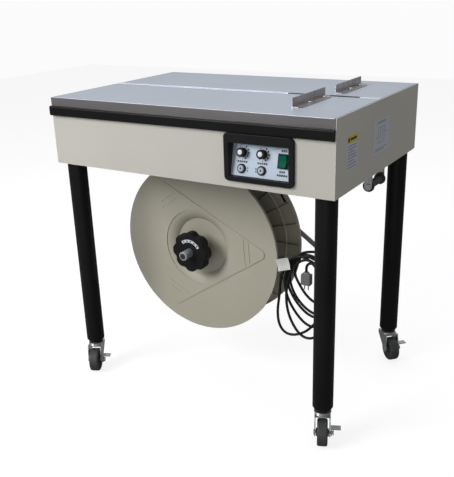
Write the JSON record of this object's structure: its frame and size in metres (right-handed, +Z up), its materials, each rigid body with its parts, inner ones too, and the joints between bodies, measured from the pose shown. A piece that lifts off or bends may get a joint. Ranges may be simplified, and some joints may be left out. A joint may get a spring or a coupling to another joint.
{
  "type": "strapping machine",
  "caption": "Table-high packing machine: steel table with a sealing head in its seam, tube legs on braked casters, and a strap reel hung below.",
  "frame": {"origin": "middle of the footprint (all pieces but the cord), on the floor", "axes": "+X to the right along the table, +Y to the back, +Z up"},
  "size_m": [0.9326, 0.6324, 0.9295],
  "materials": {
    "body_paint": "fine textured beige-grey powder coat",
    "frame_paint": "dark grey powder coat",
    "stainless": "brushed along the table",
    "black_paint": "semi-gloss black",
    "black_plastic": "fine grained black moulding",
    "face_plate": "satin silver-blue",
    "green_plastic": "clear green",
    "zinc": "bright zinc plate",
    "wheel_rubber": "dark grey moulded tread",
    "bright_steel": "turned bright steel",
    "arm_steel": "grey",
    "reel_plastic": "beige-grey moulding",
    "roller_rubber": "dark grey",
    "cord_jacket": "black flexible jacket",
    "motor_paint": "grey-blue enamel",
    "plated_sheet": "plated sheet"
  },
  "bodies": {
    "machine": {"left_panel": "body_paint", "right_panel": "body_paint", "front_panel": "body_paint", "rear_panel": "body_paint", "base_frame": "frame_paint", "table_plate_front": "stainless", "table_plate_rear": "stainless", "strap_channel": "stainless", "front_bumper": "black_paint", "leg_front_left": "black_paint", "leg_front_right": "black_paint", "leg_rear_left": "black_paint", "leg_rear_right": "black_paint", "leg_bolts": "bright_steel", "control_bezel": "black_plastic", "control_face": "face_plate", "switch_bodies": "black_plastic", "control_box": "plated_sheet", "stop_bracket_front": "stainless", "stop_bracket_rear": "stainless", "bracket_screws": "bright_steel", "reel_hanger": "frame_paint", "guide_bracket": "zinc", "head_frame": "frame_paint", "gearbox": "motor_paint", "drive_motor": "motor_paint", "drive_belt": "roller_rubber", "power_cord": "cord_jacket", "cord_gland": "cord_jacket", "cord_coil": "cord_jacket", "power_plug": "cord_jacket"},
    "reel": {"reel_front_flange": "reel_plastic", "reel_rear_flange": "reel_plastic", "reel_spindle": "bright_steel"},
    "washer": {"clamp_washer": "bright_steel"},
    "knob": {"clamp_knob": "black_plastic"},
    "arm": {"brake_arm": "arm_steel"},
    "guide": {"guide_roller": "roller_rubber"},
    "feed_dial": {"feed_dial": "black_plastic"},
    "tension_dial": {"tension_dial": "black_plastic"},
    "feed_button": {"feed_button": "black_plastic"},
    "reset_button": {"reset_button": "black_plastic"},
    "rocker": {"power_rocker": "green_plastic"},
    "press": {"press_slide": "bright_steel"},
    "grippers": {"strap_grippers": "bright_steel"},
    "cams": {"cam_shaft": "bright_steel"},
    "motor_shaft": {"motor_pulley": "bright_steel"},
    "feed_shaft": {"feed_roller": "roller_rubber"},
    "fork_front_left": {"caster_fork_front_left": "zinc"},
    "wheel_front_left": {"caster_wheel_front_left": "wheel_rubber"},
    "lever_front_left": {"brake_lever_front_left": "zinc"},
    "fork_front_right": {"caster_fork_front_right": "zinc"},
    "wheel_front_right": {"caster_wheel_front_right": "wheel_rubber"},
    "lever_front_right": {"brake_lever_front_right": "zinc"},
    "fork_rear_left": {"caster_fork_rear_left": "zinc"},
    "wheel_rear_left": {"caster_wheel_rear_left": "wheel_rubber"},
    "lever_rear_left": {"brake_lever_rear_left": "zinc"},
    "fork_rear_right": {"caster_fork_rear_right": "zinc"},
    "wheel_rear_right": {"caster_wheel_rear_right": "wheel_rubber"},
    "lever_rear_right": {"brake_lever_rear_right": "zinc"}
  },
  "joints": [
    {"name": "reel_spin", "type": "hinge", "parent": "machine", "child": "reel", "pos_m": [-0.0958, -0.00885, 0.428], "axis": [0, 1, 0], "continuous": true},
    {"name": "knob_travel", "type": "slide", "parent": "reel", "child": "washer", "axis": [0, -1, 0], "range_m": [0, 0.018]},
    {"name": "knob_turn", "type": "hinge", "parent": "washer", "child": "knob", "pos_m": [-0.0958, -0.12485, 0.428], "axis": [0, -1, 0], "range_deg": [0, 1081]},
    {"name": "brake_arm_swing", "type": "hinge", "parent": "machine", "child": "arm", "pos_m": [-0.1818, 0.11415, 0.69], "axis": [0, -1, 0], "range_deg": [0, 25]},
    {"name": "guide_roller_spin", "type": "hinge", "parent": "machine", "child": "guide", "pos_m": [0.4242, 0.02815, 0.6725], "axis": [0, 1, 0], "continuous": true},
    {"name": "feed_dial_turn", "type": "hinge", "parent": "machine", "child": "feed_dial", "pos_m": [0.1847, -0.27793, 0.80013], "axis": [0, -0.977, 0.2134], "range_deg": [-135, 135]},
    {"name": "tension_dial_turn", "type": "hinge", "parent": "machine", "child": "tension_dial", "pos_m": [0.2427, -0.27793, 0.80013], "axis": [0, -0.977, 0.2134], "range_deg": [-135, 135]},
    {"name": "feed_button_press", "type": "slide", "parent": "machine", "child": "feed_button", "axis": [0, 0.977, -0.2134], "range_m": [0, 0.002], "stiffness_N_per_m": 300},
    {"name": "reset_button_press", "type": "slide", "parent": "machine", "child": "reset_button", "axis": [0, 0.977, -0.2134], "range_m": [0, 0.002], "stiffness_N_per_m": 300},
    {"name": "rocker_tilt", "type": "hinge", "parent": "machine", "child": "rocker", "pos_m": [0.3007, -0.28245, 0.78883], "axis": [1, 0, 0], "range_deg": [-8, 8]},
    {"name": "press_lift", "type": "slide", "parent": "machine", "child": "press", "axis": [0, 0, 1], "range_m": [0, 0.005]},
    {"name": "gripper_lift", "type": "slide", "parent": "machine", "child": "grippers", "axis": [0, 0, 1], "range_m": [0, 0.005]},
    {"name": "cam_spin", "type": "hinge", "parent": "machine", "child": "cams", "pos_m": [0.2732, 0.01115, 0.79], "axis": [1, 0, 0], "continuous": true},
    {"name": "motor_spin", "type": "hinge", "parent": "machine", "child": "motor_shaft", "pos_m": [0.0242, -0.10485, 0.8], "axis": [0, 1, 0], "continuous": true},
    {"name": "feed_spin", "type": "hinge", "parent": "machine", "child": "feed_shaft", "pos_m": [0.1442, 0.01115, 0.8], "axis": [0, 1, 0], "continuous": true},
    {"name": "swivel_front_left", "type": "hinge", "parent": "machine", "child": "fork_front_left", "pos_m": [-0.4178, -0.25385, 0.098], "axis": [0, 0, 1], "continuous": true},
    {"name": "roll_front_left", "type": "hinge", "parent": "fork_front_left", "child": "wheel_front_left", "pos_m": [-0.40559, -0.2768, 0.0375], "axis": [-0.8829, -0.4695, 0], "continuous": true},
    {"name": "brake_front_left", "type": "hinge", "parent": "fork_front_left", "child": "lever_front_left", "pos_m": [-0.40559, -0.2768, 0.0375], "axis": [-0.8829, -0.4695, 0], "range_deg": [-30, 0]},
    {"name": "swivel_front_right", "type": "hinge", "parent": "machine", "child": "fork_front_right", "pos_m": [0.4062, -0.25385, 0.098], "axis": [0, 0, 1], "continuous": true},
    {"name": "roll_front_right", "type": "hinge", "parent": "fork_front_right", "child": "wheel_front_right", "pos_m": [0.41677, -0.2776, 0.0375], "axis": [-0.9135, -0.4067, 0], "continuous": true},
    {"name": "brake_front_right", "type": "hinge", "parent": "fork_front_right", "child": "lever_front_right", "pos_m": [0.41677, -0.2776, 0.0375], "axis": [-0.9135, -0.4067, 0], "range_deg": [-30, 0]},
    {"name": "swivel_rear_left", "type": "hinge", "parent": "machine", "child": "fork_rear_left", "pos_m": [-0.4178, 0.27615, 0.098], "axis": [0, 0, 1], "continuous": true},
    {"name": "roll_rear_left", "type": "hinge", "parent": "fork_rear_left", "child": "wheel_rear_left", "pos_m": [-0.43381, 0.25566, 0.0375], "axis": [-0.788, 0.6157, 0], "continuous": true},
    {"name": "brake_rear_left", "type": "hinge", "parent": "fork_rear_left", "child": "lever_rear_left", "pos_m": [-0.43381, 0.25566, 0.0375], "axis": [-0.788, 0.6157, 0], "range_deg": [-30, 0]},
    {"name": "swivel_rear_right", "type": "hinge", "parent": "machine", "child": "fork_rear_right", "pos_m": [0.4062, 0.27615, 0.098], "axis": [0, 0, 1], "continuous": true},
    {"name": "roll_rear_right", "type": "hinge", "parent": "fork_rear_right", "child": "wheel_rear_right", "pos_m": [0.42458, 0.25777, 0.0375], "axis": [-0.7071, -0.7071, 0], "continuous": true},
    {"name": "brake_rear_right", "type": "hinge", "parent": "fork_rear_right", "child": "lever_rear_right", "pos_m": [0.42458, 0.25777, 0.0375], "axis": [-0.7071, -0.7071, 0], "range_deg": [-30, 0]}
  ],
  "couplings": [
    {"joint": "knob_turn", "follows": "knob_travel", "rad_per_m": 1047.2},
    {"joint": "feed_spin", "follows": "motor_spin", "ratio": 0.6}
  ]
}
